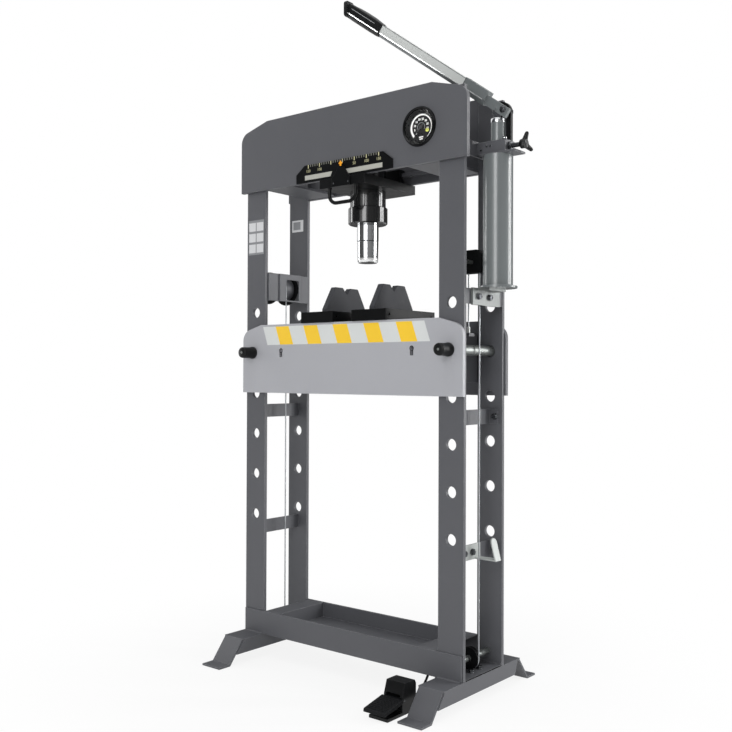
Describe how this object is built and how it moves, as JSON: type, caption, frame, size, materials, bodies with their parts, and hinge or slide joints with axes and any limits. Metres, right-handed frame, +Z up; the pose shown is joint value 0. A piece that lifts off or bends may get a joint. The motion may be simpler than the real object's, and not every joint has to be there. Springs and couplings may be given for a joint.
{
  "type": "hydraulic press",
  "caption": "Floor-standing workshop press: column frame with a sliding hydraulic ram, hand pump, pressure gauge, pinned bed lifted by a winch cable, and a foot pedal.",
  "frame": {"origin": "on the floor, under the middle of the press's outer box", "axes": "+X to the pump's side, +Y to the back, +Z up"},
  "size_m": [1.0849, 0.666, 2.2446],
  "materials": {
    "frame_paint": "semi-matt dark grey paint",
    "bed_paint": "semi-matt light grey paint",
    "black_paint": "satin black paint",
    "cast_black": "rough black casting",
    "zinc": "bright zinc plating",
    "chrome": "polished chrome",
    "spring_steel": "drawn wire",
    "tank_paint": "gloss mid grey paint",
    "aluminium": "extruded bar",
    "black_plastic": "moulded",
    "dial_face": "printed face",
    "lens": "clear",
    "needle_paint": "white",
    "hose_black": "smooth",
    "hose_grey": "smooth"
  },
  "bodies": {
    "frame": {"front_columns": "frame_paint", "rear_columns": "frame_paint", "beam_front_plate": "frame_paint", "beam_rear_plate": "frame_paint", "beam_ties": "frame_paint", "beam_rails": "frame_paint", "column_straps": "frame_paint", "base_front_plate": "frame_paint", "base_rear_plate": "frame_paint", "base_tray": "frame_paint", "base_end_plates": "frame_paint", "feet": "frame_paint", "bed_rear_plate": "frame_paint", "bed_channels": "frame_paint", "winch_cover": "frame_paint", "pump_head": "frame_paint", "bed_front_plate": "bed_paint", "scale_plate": "black_paint", "sheave_guard": "black_paint", "pump_arch": "black_paint", "gauge_case": "black_paint", "press_plates": "cast_black", "v_blocks": "cast_black", "frame_bolts": "zinc", "sheave_axles": "zinc", "hook_bracket": "zinc", "pump_bracket": "zinc", "hinge_pins": "zinc", "lift_cable": "spring_steel", "pump_tank": "tank_paint", "pump_barrel": "tank_paint", "pedal_base": "black_plastic", "gauge_dial": "dial_face", "gauge_lens": "lens", "air_hose": "hose_black", "signal_hose": "hose_grey"},
    "carriage": {"carriage_plate": "black_paint", "carriage_hangers": "black_paint", "pointer_plate": "black_paint", "bail_handle": "black_paint", "cylinder_barrel": "black_paint", "gland_collar": "black_paint", "return_spring": "spring_steel"},
    "ram_body": {"ram": "chrome", "ram_nose": "chrome"},
    "needle": {"gauge_needle": "needle_paint"},
    "drum": {"winch_drum": "black_paint"},
    "sheave_low_left": {"lower_left_sheave": "black_plastic"},
    "sheave_low_right": {"lower_right_sheave": "black_plastic"},
    "sheave_up_right": {"upper_right_sheave": "black_plastic"},
    "handle": {"handle_socket": "tank_paint", "handle_bar": "aluminium", "handle_grip": "black_plastic"},
    "plunger": {"pump_piston": "chrome"},
    "knob": {"release_knob": "black_plastic"},
    "tread": {"pedal_tread": "black_plastic"},
    "pin_left": {"left_pin": "zinc", "left_pin_grip": "black_plastic"},
    "pin_right": {"right_pin": "zinc", "right_pin_grip": "black_plastic"}
  },
  "joints": [
    {"name": "carriage_slide", "type": "slide", "parent": "frame", "child": "carriage", "axis": [1, 0, 0], "range_m": [-0.15, 0.15]},
    {"name": "ram_stroke", "type": "slide", "parent": "carriage", "child": "ram_body", "axis": [0, 0, -1], "range_m": [0, 0.16], "stiffness_N_per_m": 1500, "springref_m": -0.12, "deforming": ["return_spring"]},
    {"name": "pump_handle", "type": "hinge", "parent": "frame", "child": "handle", "pos_m": [0.4665, 0.003, 1.772], "axis": [0, 1, 0], "range_deg": [-28, 15]},
    {"name": "pump_stroke", "type": "slide", "parent": "frame", "child": "plunger", "axis": [0, 0, 1], "range_m": [-0.0135, 0.0075]},
    {"name": "release_turn", "type": "hinge", "parent": "frame", "child": "knob", "pos_m": [0.5245, 0.017, 1.664], "axis": [1, 0, 0], "range_deg": [0, 180]},
    {"name": "gauge_needle", "type": "hinge", "parent": "frame", "child": "needle", "pos_m": [0.2395, -0.1, 1.735], "axis": [0, 1, 0], "range_deg": [0, 270]},
    {"name": "winch_turn", "type": "hinge", "parent": "frame", "child": "drum", "pos_m": [-0.4855, 0.017, 1.29], "axis": [0, 1, 0], "continuous": true},
    {"name": "low_left_turn", "type": "hinge", "parent": "frame", "child": "sheave_low_left", "pos_m": [-0.4117, 0.017, 0.1195], "axis": [0, 1, 0], "continuous": true},
    {"name": "low_right_turn", "type": "hinge", "parent": "frame", "child": "sheave_low_right", "pos_m": [0.3427, 0.017, 0.1195], "axis": [0, 1, 0], "continuous": true},
    {"name": "up_right_turn", "type": "hinge", "parent": "frame", "child": "sheave_up_right", "pos_m": [0.3545, 0.017, 1.325], "axis": [0, 1, 0], "continuous": true},
    {"name": "pedal_press", "type": "hinge", "parent": "frame", "child": "tread", "pos_m": [0.2495, -0.234, 0.041], "axis": [1, 0, 0], "range_deg": [0, 7], "stiffness_Nm_per_rad": 2, "springref_deg": -5.73},
    {"name": "left_pin_pull", "type": "slide", "parent": "frame", "child": "pin_left", "axis": [0, -1, 0], "range_m": [0, 0.26]},
    {"name": "right_pin_pull", "type": "slide", "parent": "frame", "child": "pin_right", "axis": [0, -1, 0], "range_m": [0, 0.26]}
  ],
  "couplings": [
    {"joint": "pump_stroke", "follows": "pump_handle", "m_per_rad": 0.027},
    {"joint": "low_left_turn", "follows": "winch_turn", "ratio": -1.3208},
    {"joint": "low_right_turn", "follows": "winch_turn", "ratio": -1.3208},
    {"joint": "up_right_turn", "follows": "winch_turn", "ratio": -2.1}
  ]
}
